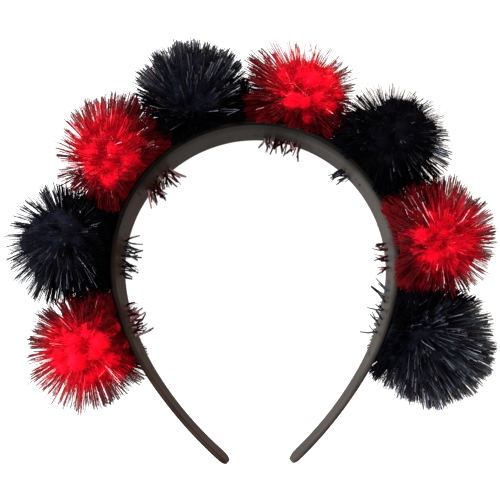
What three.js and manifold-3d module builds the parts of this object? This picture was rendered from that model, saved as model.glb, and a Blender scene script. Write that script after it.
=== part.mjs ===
// A party headband that lies on its side: a tapered plastic band, tinsel pompoms glued round its outer face,
// and short tinsel tufts caught on its inner face. Millimetres, +Z up, the crown of the band towards +Y.
import * as THREE from "three";
import { mergeVertices } from "three/addons/utils/BufferGeometryUtils.js";
import Module from "manifold-3d";

// Gap between pieces that rest against each other
const CLEARANCE = 0.3;

// Band: its inner face follows tangent arcs from the crown to each tip, the same on both sides
const BAND_ARCS = [
  { stretch: "crown", radius: 58.4, turn: 100 },
  { stretch: "side", radius: 99, turn: 22 },
  { stretch: "leg", radius: 163, turn: 17 },
];
const BAND_THICKNESS = 2;
const BAND_CHAMFER = 0.5;
const CROWN_WIDTH = 25;
const TIP_WIDTH = 8.5;
const TAPER_START = 10; // distance along the band from the crown where it starts to narrow
const TAPER_END = 170;
const STATIONS_PER_SIDE = 29;
const TIP_STEPS = 4;
const TIP_LAST_ANGLE = 75; // the round tip ends in a short flat at this angle

// Pompoms: a head ball whose every face is drawn out into a pointed lock
const REST_HEIGHT = 24.5; // from the floor to the middle of the band and of every pompom
const HEAD_SHARE = 0.68; // radius of the head ball as a share of the pompom's radius
const HEAD_DETAIL = 3;
const LOCK_SHORTEST = 0.9; // reach of the shortest and longest locks as shares of the pompom's radius
const LOCK_LONGEST = 1.02;
const LOCK_SWAY = 0.09;
const FOOT = { rootWidth: 7, rootDepth: 6, tipWidth: 4.4, tipDepth: 3.6 };
const STEM = { rootWidth: 10, rootDepth: 12, tipWidth: 8, tipDepth: 8 };
const INNER_END = 6; // where a foot or a stem starts, from the middle of its pompom
// along: place of the middle along the inner face, negative on the left; standoff: height above the outer face
const POMPOMS = [
  { name: "pompom_1_red", tinsel: "red", along: -118.5, standoff: 20.2, radius: 25 },
  { name: "pompom_2_black", tinsel: "black", along: -83.5, standoff: 22.4, radius: 25.4 },
  { name: "pompom_3_red", tinsel: "red", along: -49.5, standoff: 19.6, radius: 25.4 },
  { name: "pompom_4_black", tinsel: "black", along: -17.2, standoff: 21, radius: 24.4 },
  { name: "pompom_5_red", tinsel: "red", along: 16, standoff: 19, radius: 24.4 },
  { name: "pompom_6_black", tinsel: "black", along: 50, standoff: 21.4, radius: 24.4 },
  { name: "pompom_7_red", tinsel: "red", along: 83.6, standoff: 20.4, radius: 24.8 },
  { name: "pompom_8_black", tinsel: "black", along: 120.5, standoff: 20.4, radius: 25.4 },
];

// Tufts: a thin backing along the inner face with a row of bristles
const TUFT_BACKING = 0.9;
const TUFT_HEIGHT = 3.2;
const TUFT_RINGS = 4;
const BRISTLE = { rootWidth: 1.1, rootDepth: 1, tipWidth: 0.5, tipDepth: 0.4 };
const BRISTLE_SHORTEST = 0.65; // reach of the shortest bristle as a share of the longest
const BRISTLE_SWAY = 0.55; // sideways lean as a share of the bristle's reach
// row: length of the backing along the band; reach: longest bristle; level: height from the band's middle
const TUFTS = [
  { name: "tuft_1_red", tinsel: "red", along: -114.5, row: 17, reach: 6.5, bristles: 8, level: -1 },
  { name: "tuft_2_black", tinsel: "black", along: -86, row: 15, reach: 7, bristles: 8, level: -2 },
  { name: "tuft_3_red", tinsel: "red", along: -47, row: 15, reach: 7, bristles: 8, level: -4 },
  { name: "tuft_5_red", tinsel: "red", along: 14.5, row: 18, reach: 6, bristles: 8, level: -6 },
  { name: "tuft_6_black", tinsel: "black", along: 47, row: 10, reach: 6, bristles: 5, level: -5 },
  { name: "tuft_7_red", tinsel: "red", along: 88, row: 12, reach: 5.5, bristles: 6, level: -3 },
  { name: "tuft_8_black", tinsel: "black", along: 114, row: 18, reach: 7, bristles: 7, level: -1 },
];

const MATERIALS = {
  band: new THREE.MeshStandardMaterial({ color: 0x2b2826, roughness: 0.45, metalness: 0 }),
  red: new THREE.MeshStandardMaterial({ color: 0xc8102a, roughness: 0.4, metalness: 0.25 }),
  black: new THREE.MeshStandardMaterial({ color: 0x121219, roughness: 0.35, metalness: 0.25 }),
};

// Numbers that scatter the locks and bristles in a repeatable way
const SCATTER = { step: 12.9898, salt: 78.233, scale: 43758.5453 };
const MERGE_DISTANCE = 1e-4;

const wasm = await Module();
wasm.setup();

const radians = THREE.MathUtils.degToRad;
const BAND_HALF_LENGTH = BAND_ARCS.reduce((sum, arc) => sum + arc.radius * radians(arc.turn), 0);
const TIP_RADIUS = TIP_WIDTH / 2;

// Repeatable number from 0 to 1 for an index, so that locks and bristles differ from one another
function spread(index, salt) {
  const value = Math.sin(index * SCATTER.step + salt * SCATTER.salt) * SCATTER.scale;
  return value - Math.floor(value);
}

// Point of the inner face, its outward normal and its direction of travel, at a distance along the band
function bandPlace(along) {
  const side = Math.sign(along) || 1;
  const normalAt = (angle) => new THREE.Vector3(Math.sin(angle), Math.cos(angle), 0);
  const point = normalAt(0).multiplyScalar(BAND_ARCS[0].radius);
  let angle = 0;
  let left = Math.abs(along);
  for (const { radius, turn } of BAND_ARCS) {
    const run = Math.min(left, radius * radians(turn));
    point.addScaledVector(normalAt(angle), -radius);
    angle += run / radius;
    point.addScaledVector(normalAt(angle), radius);
    left -= run;
  }
  const normal = normalAt(angle);
  point.x *= side;
  normal.x *= side;
  return { point, normal, travel: new THREE.Vector3(normal.y, -normal.x, 0) };
}

// Width of the band before its tips are rounded
function bandWidth(along) {
  const narrowed = THREE.MathUtils.smoothstep(Math.abs(along), TAPER_START, TAPER_END);
  return CROWN_WIDTH - (CROWN_WIDTH - TIP_WIDTH) * narrowed;
}

// Closed skin through rings of equal, convex point counts
function loft(rings) {
  const size = rings[0].length;
  const corners = rings.flat().flatMap((point) => point.toArray());
  const faces = [];
  for (let ring = 0; ring + 1 < rings.length; ring++) {
    for (let corner = 0; corner < size; corner++) {
      const here = ring * size + corner;
      const beside = ring * size + ((corner + 1) % size);
      faces.push(here, beside, here + size, beside, beside + size, here + size);
    }
  }
  const last = (rings.length - 1) * size;
  for (let corner = 1; corner + 1 < size; corner++) {
    faces.push(0, corner + 1, corner, last, last + corner, last + corner + 1);
  }
  const geometry = new THREE.BufferGeometry();
  geometry.setAttribute("position", new THREE.Float32BufferAttribute(corners, 3));
  geometry.setIndex(faces);
  return geometry;
}

// Ring of points across the band at one place: each pair is an outward offset and a height
function crossRing(along, pairs) {
  const { point, normal } = bandPlace(along);
  return pairs.map(([offset, height]) => point.clone().addScaledVector(normal, offset).setZ(height));
}

// Section of the band: a flat strip with chamfered edges
function bandRing(along, halfWidth) {
  const inset = halfWidth - BAND_CHAMFER;
  const outer = BAND_THICKNESS - BAND_CHAMFER;
  return crossRing(along, [
    [0, -inset],
    [BAND_CHAMFER, -halfWidth],
    [outer, -halfWidth],
    [BAND_THICKNESS, -inset],
    [BAND_THICKNESS, inset],
    [outer, halfWidth],
    [BAND_CHAMFER, halfWidth],
    [0, inset],
  ]);
}

function bandGeometry() {
  const straightEnd = BAND_HALF_LENGTH - TIP_RADIUS;
  const step = straightEnd / (STATIONS_PER_SIDE - 0.5);
  const stations = [];
  for (let index = 0; index < STATIONS_PER_SIDE; index++) {
    const along = (index + 0.5) * step;
    stations.push({ along, halfWidth: bandWidth(along) / 2 });
  }
  for (let index = 1; index <= TIP_STEPS; index++) {
    const angle = radians((TIP_LAST_ANGLE * index) / TIP_STEPS);
    stations.push({
      along: straightEnd + TIP_RADIUS * Math.sin(angle),
      halfWidth: TIP_RADIUS * Math.cos(angle),
    });
  }
  const leftSide = stations.map(({ along, halfWidth }) => ({ along: -along, halfWidth })).reverse();
  return loft([...leftSide, ...stations].map(({ along, halfWidth }) => bandRing(along, halfWidth)));
}

// Four-sided lock along a direction, from one distance to another, narrower at its end
function lockGeometry({ rootWidth, rootDepth, tipWidth, tipDepth }, direction, from, to) {
  const geometry = new THREE.BoxGeometry(rootWidth, to - from, rootDepth);
  const position = geometry.getAttribute("position");
  for (let index = 0; index < position.count; index++) {
    if (position.getY(index) > 0) {
      position.setX(index, (position.getX(index) * tipWidth) / rootWidth);
      position.setZ(index, (position.getZ(index) * tipDepth) / rootDepth);
    }
  }
  geometry.translate(0, (from + to) / 2, 0);
  const turn = new THREE.Quaternion().setFromUnitVectors(new THREE.Vector3(0, 1, 0), direction);
  return geometry.applyQuaternion(turn);
}

function solidOf(geometry) {
  const bare = geometry.clone();
  bare.deleteAttribute("normal");
  bare.deleteAttribute("uv");
  const merged = mergeVertices(bare, MERGE_DISTANCE);
  return new wasm.Manifold(
    new wasm.Mesh({
      numProp: 3,
      vertProperties: merged.getAttribute("position").array,
      triVerts: new Uint32Array(merged.getIndex().array),
    }),
  );
}

// One geometry from several that overlap
function fused(geometries) {
  const solid = geometries.map(solidOf).reduce((whole, piece) => whole.add(piece));
  const { vertProperties, triVerts } = solid.getMesh();
  const geometry = new THREE.BufferGeometry();
  geometry.setAttribute("position", new THREE.BufferAttribute(vertProperties, 3));
  geometry.setIndex(new THREE.BufferAttribute(triVerts, 1));
  geometry.computeVertexNormals();
  return geometry;
}

// Head ball with every face drawn out into a lock, which stops short at each limit plane
function burrGeometry(radius, limits, salt) {
  const ball = new THREE.IcosahedronGeometry(radius * HEAD_SHARE, HEAD_DETAIL);
  ball.rotateX(spread(salt, 1) * Math.PI);
  ball.rotateZ(spread(salt, 2) * Math.PI);
  const position = ball.getAttribute("position");
  const corners = [];
  for (let start = 0; start < position.count; start += 3) {
    const face = [0, 1, 2].map((corner) => new THREE.Vector3().fromBufferAttribute(position, start + corner));
    const sway = [3, 4, 5].map((axis) => (spread(start, salt + axis) - 0.5) * 2 * LOCK_SWAY);
    const tip = face[0].clone().add(face[1]).add(face[2]).normalize();
    tip.add(new THREE.Vector3(...sway)).normalize();
    let reach = radius * THREE.MathUtils.lerp(LOCK_SHORTEST, LOCK_LONGEST, spread(start, salt));
    for (const { normal, distance } of limits) {
      const towards = tip.dot(normal);
      if (towards > 0) reach = Math.min(reach, distance / towards);
    }
    tip.multiplyScalar(reach);
    for (let corner = 0; corner < 3; corner++) {
      corners.push(...face[corner].toArray(), ...face[(corner + 1) % 3].toArray(), ...tip.toArray());
    }
  }
  const geometry = new THREE.BufferGeometry();
  geometry.setAttribute("position", new THREE.Float32BufferAttribute(corners, 3));
  return geometry;
}

function pompomCentre({ along, standoff }) {
  const { point, normal } = bandPlace(along);
  return point.addScaledVector(normal, BAND_THICKNESS + standoff);
}

// A pompom keeps to its own side of the band, of the floor and of the middle plane to each neighbour
function pompomMesh(pompom, index) {
  const centre = pompomCentre(pompom);
  const inward = bandPlace(pompom.along).normal.negate();
  const down = new THREE.Vector3(0, 0, -1);
  const seat = pompom.standoff - CLEARANCE;
  const limits = [
    { normal: inward, distance: seat },
    { normal: down, distance: REST_HEIGHT - CLEARANCE },
  ];
  for (const neighbour of [POMPOMS[index - 1], POMPOMS[index + 1]]) {
    if (!neighbour) continue;
    const across = pompomCentre(neighbour).sub(centre);
    const distance = (across.length() - CLEARANCE) / 2;
    limits.push({ normal: across.normalize(), distance });
  }
  const geometry = fused([
    burrGeometry(pompom.radius, limits, index + 1),
    lockGeometry(FOOT, down, INNER_END, REST_HEIGHT),
    lockGeometry(STEM, inward, INNER_END, seat),
  ]);
  const mesh = new THREE.Mesh(geometry, MATERIALS[pompom.tinsel]);
  mesh.name = pompom.name;
  mesh.position.copy(centre);
  return mesh;
}

// A tuft's backing follows the inner face, and its bristles lean this way and that into the opening
function tuftMesh({ name, tinsel, along, row, reach, bristles, level }, index) {
  const top = -CLEARANCE;
  const bottom = top - TUFT_BACKING;
  const low = level - TUFT_HEIGHT / 2;
  const high = level + TUFT_HEIGHT / 2;
  const section = [
    [bottom, low],
    [top, low],
    [top, high],
    [bottom, high],
  ];
  const rings = [];
  for (let ring = 0; ring < TUFT_RINGS; ring++) {
    rings.push(crossRing(along + row * (ring / (TUFT_RINGS - 1) - 0.5), section));
  }
  const pieces = [loft(rings)];
  for (let bristle = 0; bristle < bristles; bristle++) {
    const salt = index * bristles + bristle;
    const { point, normal, travel } = bandPlace(along + row * ((bristle + 0.5) / bristles - 0.5));
    const lean = (spread(salt, 6) - 0.5) * 2 * BRISTLE_SWAY;
    const lift = (spread(salt, 7) - 0.5) * 2 * BRISTLE_SWAY;
    const direction = normal.clone().negate().addScaledVector(travel, lean).setZ(lift).normalize();
    const length = reach * THREE.MathUtils.lerp(BRISTLE_SHORTEST, 1, spread(salt, 8));
    const lock = lockGeometry(BRISTLE, direction, 0, length);
    const root = point.addScaledVector(normal, top - TUFT_BACKING / 2).setZ(level);
    pieces.push(lock.translate(root.x, root.y, root.z));
  }
  const mesh = new THREE.Mesh(fused(pieces), MATERIALS[tinsel]);
  mesh.name = name;
  return mesh;
}

function bandMesh() {
  const geometry = bandGeometry();
  geometry.computeVertexNormals();
  const mesh = new THREE.Mesh(geometry, MATERIALS.band);
  mesh.name = "band";
  return mesh;
}

const headband = new THREE.Group();
headband.add(bandMesh(), ...POMPOMS.map(pompomMesh), ...TUFTS.map(tuftMesh));

// The origin is on the floor, under the middle of the whole headband
const middle = new THREE.Box3().setFromObject(headband).getCenter(new THREE.Vector3());
headband.position.set(-middle.x, -middle.y, REST_HEIGHT);

export default headband;
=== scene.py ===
"""Dresses the tinsel headband: a moulded band, fluffy tinsel pompoms and the tufts on its inner face."""

import logging
from dataclasses import dataclass, field
from enum import Enum
from math import ceil, cos, pi, radians, sin, sqrt

import bmesh
import bpy
import numpy as np
from mathutils import Matrix, Vector


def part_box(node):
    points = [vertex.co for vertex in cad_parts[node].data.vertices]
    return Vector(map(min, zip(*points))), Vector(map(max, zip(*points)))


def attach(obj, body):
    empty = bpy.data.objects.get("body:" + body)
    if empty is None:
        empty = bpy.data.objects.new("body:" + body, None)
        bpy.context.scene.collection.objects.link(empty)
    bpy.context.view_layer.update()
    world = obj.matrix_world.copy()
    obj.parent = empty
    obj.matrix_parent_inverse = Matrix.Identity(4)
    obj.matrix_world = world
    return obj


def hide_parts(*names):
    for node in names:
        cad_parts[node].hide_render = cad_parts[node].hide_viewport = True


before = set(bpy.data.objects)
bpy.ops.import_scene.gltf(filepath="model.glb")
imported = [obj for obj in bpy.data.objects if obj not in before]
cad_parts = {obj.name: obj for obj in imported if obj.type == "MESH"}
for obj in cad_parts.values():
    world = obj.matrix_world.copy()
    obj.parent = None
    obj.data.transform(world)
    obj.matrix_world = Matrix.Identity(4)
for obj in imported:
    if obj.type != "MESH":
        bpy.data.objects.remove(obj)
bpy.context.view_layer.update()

LOG = logging.getLogger("headband")
MM = 0.001
BODY = "root"
STRAND_MAP = "strand"
BAND_MAP = "band"
BAKE_MAP = "OFBake"
BAKE_SCALE = np.array([0.44, 0.9])
BAKE_MARGIN = np.array([0.03, 0.04])
BAKE_SHIFT = np.array([0.5, 0.0])
POMPOM_SEED = 100
TUFT_SEED = 200
GOLDEN_TURN = pi * (3 - sqrt(5))
RING = 3
TINY = 1e-12
LEVEL = np.array([1.0, 1.0, 0.0])
RISE = np.array([0.0, 0.0, 1.0])

Array = np.ndarray
Tree = bpy.types.NodeTree
Node = bpy.types.Node
Socket = bpy.types.NodeSocket
Material = bpy.types.Material
Piece = bpy.types.Object
Span = tuple[float, float]
Colour = tuple[float, float, float]
Stops = tuple[tuple[float, Colour], ...]
WHITE: Colour = (1.0, 1.0, 1.0)


class Tone(Enum):
    """Colour of a pompom or a tuft."""

    RED = "red"
    BLACK = "black"


class Strand(Enum):
    """Kinds of strand, which are also the material slots of a bundle."""

    FLUFF = 0
    TINSEL = 1


# Finishes


def grey(value: float) -> Colour:
    """Makes a grey."""
    return (value, value, value)


def wire(tree: Tree, node: Node, **values: object) -> Node:
    """Sets or links a node's properties and sockets.

    Args:
        tree: node tree that holds the node.
        node: the node.
        values: a value or an output socket for each name; in a socket's name _ stands for a space, and
            _0 or _1 is a socket by its number.

    Returns:
        The same node.
    """
    for name, value in values.items():
        if hasattr(node, name):
            setattr(node, name, value)
            continue
        key = int(name[1:]) if name[1:].isdigit() else name.replace("_", " ")
        if isinstance(value, Socket):
            tree.links.new(value, node.inputs[key])
        else:
            node.inputs[key].default_value = value
    return node


def linked(tree: Tree, kind: str, **values: object) -> Node:
    """Adds a node of one of Blender's types and wires it."""
    return wire(tree, tree.nodes.new(kind), **values)


def axis(tree: Tree, vector: Socket, name: str) -> Socket:
    """Adds a node that gives one axis of a vector."""
    return linked(tree, "ShaderNodeSeparateXYZ", Vector=vector).outputs[name]


def blank_material(name: str) -> tuple[Material, Tree, Node]:
    """Makes a material with one Principled shader and nothing else.

    Args:
        name: name of the material.

    Returns:
        The material, its node tree and its shader node.
    """
    material = bpy.data.materials.new(name)
    material.use_nodes = True
    tree = material.node_tree
    tree.nodes.clear()
    shader = linked(tree, "ShaderNodeBsdfPrincipled")
    linked(tree, "ShaderNodeOutputMaterial", Surface=shader.outputs["BSDF"])
    return material, tree, shader


def ramp(tree: Tree, value: Socket, stops: Stops) -> Socket:
    """Adds a colour ramp.

    Args:
        tree: node tree that gets the ramp.
        value: socket that drives it.
        stops: places from 0 to 1 with a linear colour for each.

    Returns:
        The ramp's colour.
    """
    node = linked(tree, "ShaderNodeValToRGB", Fac=value)
    elements = node.color_ramp.elements
    while len(elements) < len(stops):
        elements.new(0.5)
    for element, (place, colour) in zip(elements, stops):
        element.position = place
        element.color = (*colour, 1.0)
    return node.outputs["Color"]


def spanned(tree: Tree, value: Socket, span: Span, onto: Span = (0.0, 1.0)) -> Socket:
    """Maps one span of values onto another, and holds what lies outside at its ends.

    Args:
        tree: node tree that gets the node.
        value: socket with the value.
        span: values at the two ends of the span.
        onto: values that these become.

    Returns:
        The mapped value.
    """
    node = linked(tree, "ShaderNodeMapRange", Value=value, From_Min=span[0], From_Max=span[1])
    return wire(tree, node, To_Min=onto[0], To_Max=onto[1]).outputs["Result"]


def multiplied(tree: Tree, first: Socket, second: Socket) -> Socket:
    """Multiplies two colours.

    Args:
        tree: node tree that gets the node.
        first: one colour.
        second: the other colour.

    Returns:
        The product.
    """
    node = linked(tree, "ShaderNodeMix", data_type="RGBA", blend_type="MULTIPLY", Factor=1.0)
    entries = [entry for entry in node.inputs if entry.type == "RGBA"]
    for entry, colour in zip(entries, (first, second)):
        tree.links.new(colour, entry)
    return next(product for product in node.outputs if product.type == "RGBA")


@dataclass(frozen=True)
class Noise:
    """Scale and fineness of a noise texture."""

    scale: float
    detail: float
    roughness: float = 0.5

    def at(self, tree: Tree, place: Socket) -> Socket:
        """Adds the texture.

        Args:
            tree: node tree that gets it.
            place: socket with the coordinates.

        Returns:
            The texture's value.
        """
        node = linked(tree, "ShaderNodeTexNoise", Vector=place, Scale=self.scale)
        return wire(tree, node, Detail=self.detail, Roughness=self.roughness).outputs["Fac"]


@dataclass(frozen=True)
class StrandFinish:
    """Finish of one kind of strand: its colour runs with each strand's own shade, and along the strand with
    painted shade.
    """

    name: str
    shades: Stops
    along: Stops
    roughness: float
    ior: float
    specular: float
    specular_tint: Colour
    sheen: float = 0.0
    sheen_tint: Colour = WHITE

    def material(self) -> Material:
        """Builds the node material.

        Returns:
            The material.
        """
        material, tree, shader = blank_material(self.name)
        place = linked(tree, "ShaderNodeUVMap", uv_map=STRAND_MAP).outputs["UV"]
        colour = ramp(tree, axis(tree, place, "X"), self.shades)
        depth = ramp(tree, axis(tree, place, "Y"), self.along)
        wire(
            tree,
            shader,
            Base_Color=multiplied(tree, colour, depth),
            Roughness=self.roughness,
            IOR=self.ior,
            Specular_IOR_Level=self.specular,
            Specular_Tint=(*self.specular_tint, 1.0),
            Sheen_Weight=self.sheen,
            Sheen_Tint=(*self.sheen_tint, 1.0),
        )
        return material


@dataclass(frozen=True)
class PlasticFinish:
    """Dark satin plastic with clouds, long streaks and a fine grain; browner on the left from painted warm
    light, and darkest on top from painted shade.
    """

    name: str
    cloud: Noise
    clouds: Stops
    # painted shade on the outer half of the near edge, beside the pompoms
    edge_slope: Span
    edge_span: Span
    painted_edge_shade: float
    # painted shade: the band grows darker towards its upper edge
    painted_shade_heights: Span
    painted_top_shade: float
    # painted warm light: the plastic is browner towards the left side
    painted_warm_span: Span
    painted_warm_light: Colour
    streak: Noise
    streak_scale: Span
    streaks: Stops
    rough_span: Span
    roughness: Span
    specular: float
    grain: Noise
    grain_height: float
    grain_strength: float

    def tints(self, tree: Tree, surface: Node) -> list[Socket]:
        """Builds the tints: painted shade on the outer half of the near edge and towards the top, painted
        warm light on the left side, and the streaks.

        Args:
            tree: node tree that gets the nodes.
            surface: node with the surface's coordinates.

        Returns:
            The colours that the plain colour is multiplied by.
        """
        spot = linked(tree, "ShaderNodeUVMap", uv_map=BAND_MAP).outputs["UV"]
        run = axis(tree, spot, "X")
        height = axis(tree, surface.outputs["Object"], "Z")
        facing = axis(tree, surface.outputs["Normal"], "Z")
        upright = linked(tree, "ShaderNodeMath", operation="ABSOLUTE", _0=facing).outputs["Value"]
        # painted shade on the outer half of the near edge, beside the pompoms
        on_edge = spanned(tree, upright, self.edge_slope)
        outside = spanned(tree, axis(tree, spot, "Y"), self.edge_span)
        edge = linked(tree, "ShaderNodeMath", operation="MULTIPLY", _0=on_edge, _1=outside).outputs["Value"]
        # painted shade towards the band's upper edge
        top = spanned(tree, height, self.painted_shade_heights)
        # painted warm light on the band's left side
        warm = spanned(tree, run, self.painted_warm_span)
        flat = linked(tree, "ShaderNodeCombineXYZ", X=run, Y=height).outputs["Vector"]
        scale = (*self.streak_scale, 0.0)
        drawn_out = linked(tree, "ShaderNodeVectorMath", operation="MULTIPLY", _0=flat, _1=scale)
        return [
            ramp(tree, edge, ((0.0, WHITE), (1.0, grey(self.painted_edge_shade)))),
            ramp(tree, top, ((0.0, WHITE), (1.0, grey(self.painted_top_shade)))),
            ramp(tree, warm, ((0.0, self.painted_warm_light), (1.0, WHITE))),
            ramp(tree, self.streak.at(tree, drawn_out.outputs["Vector"]), self.streaks),
        ]

    def material(self) -> Material:
        """Builds the node material.

        Returns:
            The material.
        """
        material, tree, shader = blank_material(self.name)
        surface = linked(tree, "ShaderNodeTexCoord")
        cloud = self.cloud.at(tree, surface.outputs["Object"])
        colour = ramp(tree, cloud, self.clouds)
        for tint in self.tints(tree, surface):
            colour = multiplied(tree, colour, tint)
        grain = self.grain.at(tree, surface.outputs["Object"])
        bump = linked(tree, "ShaderNodeBump", Height=grain, Strength=self.grain_strength)
        wire(tree, bump, Distance=self.grain_height)
        wire(
            tree,
            shader,
            Base_Color=colour,
            Roughness=spanned(tree, cloud, self.rough_span, self.roughness),
            Specular_IOR_Level=self.specular,
            Normal=bump.outputs["Normal"],
        )
        return material


@dataclass(frozen=True)
class FloorFinish:
    """Pale matte studio floor, lit softly from below as a light table is."""

    name: str
    colour: Colour
    roughness: float
    specular: float
    glow: float

    def material(self) -> Material:
        """Builds the material.

        Returns:
            The material.
        """
        material, tree, shader = blank_material(self.name)
        wire(
            tree,
            shader,
            Base_Color=(*self.colour, 1.0),
            Roughness=self.roughness,
            Specular_IOR_Level=self.specular,
            Emission_Color=(*WHITE, 1.0),
            Emission_Strength=self.glow,
        )
        return material


RED_FLUFF = StrandFinish(
    name="red_fluff",
    shades=(
        (0.0, (0.075, 0.0001, 0.0014)),
        (0.13, (0.14, 0.0002, 0.0026)),
        (0.5, (0.34, 0.0004, 0.006)),
        (1.0, (0.78, 0.0009, 0.015)),
    ),
    # painted shade: the fluff darkens towards its roots
    along=((0.0, (0.4, 0.37, 0.37)), (0.6, WHITE)),
    roughness=0.9,
    ior=1.4,
    specular=0.06,
    specular_tint=(1.0, 0.4, 0.4),
    sheen=0.05,
    sheen_tint=(1.0, 0.15, 0.2),
)
RED_TINSEL = StrandFinish(
    name="red_tinsel",
    # the palest shade is partly paler tinsel and partly painted glints
    shades=((0.0, (0.075, 0.0005, 0.003)), (0.85, (0.38, 0.002, 0.01)), (0.96, (0.9, 0.3, 0.36))),
    # painted shade: red strips darken from the root to the tip
    along=((0.35, WHITE), (0.66, (0.32, 0.36, 0.38)), (1.0, (0.06, 0.1, 0.11))),
    roughness=0.26,
    ior=1.7,
    specular=0.45,
    specular_tint=(0.85, 0.56, 0.58),
)
BLACK_FLUFF = StrandFinish(
    name="black_fluff",
    shades=((0.0, (0.0012, 0.0012, 0.002)), (1.0, (0.0066, 0.0071, 0.0132))),
    # painted shade: the fluff darkens towards its roots
    along=((0.0, grey(0.5)), (0.6, WHITE)),
    roughness=0.95,
    ior=1.3,
    specular=0.02,
    specular_tint=(0.8, 0.85, 1.0),
)
BLACK_TINSEL = StrandFinish(
    name="black_tinsel",
    # the two palest shades are partly paler tinsel and partly painted glints
    shades=(
        (0.0, (0.0012, 0.0012, 0.0018)),
        (0.6, (0.004, 0.004, 0.0062)),
        (0.8, (0.026, 0.0275, 0.039)),
        (0.97, (0.085, 0.088, 0.115)),
    ),
    # painted shade: black strips are a little darker at their roots
    along=((0.0, grey(0.8)), (0.5, WHITE)),
    roughness=0.24,
    ior=1.45,
    specular=0.35,
    specular_tint=(0.86, 0.9, 1.0),
)
BAND_PLASTIC = PlasticFinish(
    name="band_plastic",
    cloud=Noise(55.0, 5.0, 0.6),
    clouds=((0.3, (0.0168, 0.0134, 0.0114)), (0.75, (0.0272, 0.0226, 0.0198))),
    # painted shade on the outer half of the near edge, beside the pompoms
    edge_slope=(0.45, 0.85),
    edge_span=(0.45, 0.75),
    painted_edge_shade=0.45,
    # painted shade towards the band's upper edge
    painted_shade_heights=(28.3 * MM, 34.2 * MM),
    painted_top_shade=0.14,
    # painted warm light on the band's left side
    painted_warm_span=(0.36, 0.47),
    painted_warm_light=(0.8, 0.63, 0.54),
    streak=Noise(1.0, 3.0),
    streak_scale=(18.0, 900.0),
    streaks=((0.36, grey(0.8)), (0.52, WHITE), (0.7, grey(1.3))),
    rough_span=(0.3, 0.7),
    roughness=(0.42, 0.58),
    specular=0.018,
    grain=Noise(2600.0, 3.0),
    grain_height=0.04 * MM,
    grain_strength=0.35,
)
STUDIO_FLOOR = FloorFinish(name="studio_floor", colour=grey(0.25), roughness=0.9, specular=0.1, glow=0.9)


# Meshes


def unit(vectors: Array) -> Array:
    """Scales vectors to length 1 along the last axis."""
    return vectors / np.maximum(np.linalg.norm(vectors, axis=-1, keepdims=True), TINY)


def compass(turn: float, rise: float) -> Array:
    """Points a vector of level length 1 at a turn in degrees, with a rise."""
    return np.array([cos(radians(turn)), sin(radians(turn)), rise])


def even_directions(count: int, draw: np.random.Generator, jitter: float) -> Array:
    """Spreads directions evenly over a sphere and then shakes them a little.

    Args:
        count: number of directions.
        draw: seeded random source.
        jitter: size of the shake, as a share of the radius.

    Returns:
        Unit vectors, one row each.
    """
    index = np.arange(count)
    height = 1 - 2 * (index + 0.5) / count
    reach = np.sqrt(1 - height**2)
    turn = index * GOLDEN_TURN + draw.uniform(0, 2 * pi)
    even = np.column_stack([reach * np.cos(turn), reach * np.sin(turn), height])
    return unit(even + draw.normal(0, jitter, even.shape))


def any_directions(count: int, draw: np.random.Generator) -> Array:
    """Draws directions that are spread by chance alone."""
    return unit(draw.normal(0, 1, (count, 3)))


def mesh_object(name: str, points: Array, faces: Array, materials: list[Material]) -> Piece:
    """Makes an object from arrays of points and faces.

    Args:
        name: name of the object and its mesh.
        points: vertices, one row each.
        faces: vertex numbers, one row each, all of one length.
        materials: the material slots.

    Returns:
        The new object, linked into the scene.
    """
    mesh = bpy.data.meshes.new(name)
    count, corners = faces.shape
    mesh.vertices.add(len(points))
    mesh.vertices.foreach_set("co", points.astype(np.float32).ravel())
    mesh.loops.add(faces.size)
    mesh.loops.foreach_set("vertex_index", faces.astype(np.int32).ravel())
    mesh.polygons.add(count)
    mesh.polygons.foreach_set("loop_start", np.arange(0, faces.size, corners, dtype=np.int32))
    for material in materials:
        mesh.materials.append(material)
    mesh.update(calc_edges=True)
    made = bpy.data.objects.new(name, mesh)
    bpy.context.scene.collection.objects.link(made)
    return made


def add_map(mesh: bpy.types.Mesh, name: str, places: Array) -> None:
    """Adds a map to a mesh, with a place for each corner of each face."""
    mesh.uv_layers.new(name=name).data.foreach_set("uv", places.astype(np.float32).ravel())


def strand_faces(stations: int, pointed: bool) -> Array:
    """Lists the triangles of one closed three-sided strand.

    Args:
        stations: number of rings along the strand.
        pointed: whether the last ring is a single point.

    Returns:
        Vertex numbers, one row for each triangle.
    """
    faces = [[0, 2, 1]]
    for station in range(stations - 1):
        for corner in range(RING):
            here = RING * station + corner
            beside = RING * station + (corner + 1) % RING
            faces.append([here, beside, here + RING])
            faces.append([beside, beside + RING, here + RING])
    last = RING * (stations - 1)
    faces.append([last, last + 1, last + 2])
    if pointed:
        faces = np.minimum(faces, last).tolist()
    return np.array([face for face in faces if len(set(face)) == RING])


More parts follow.
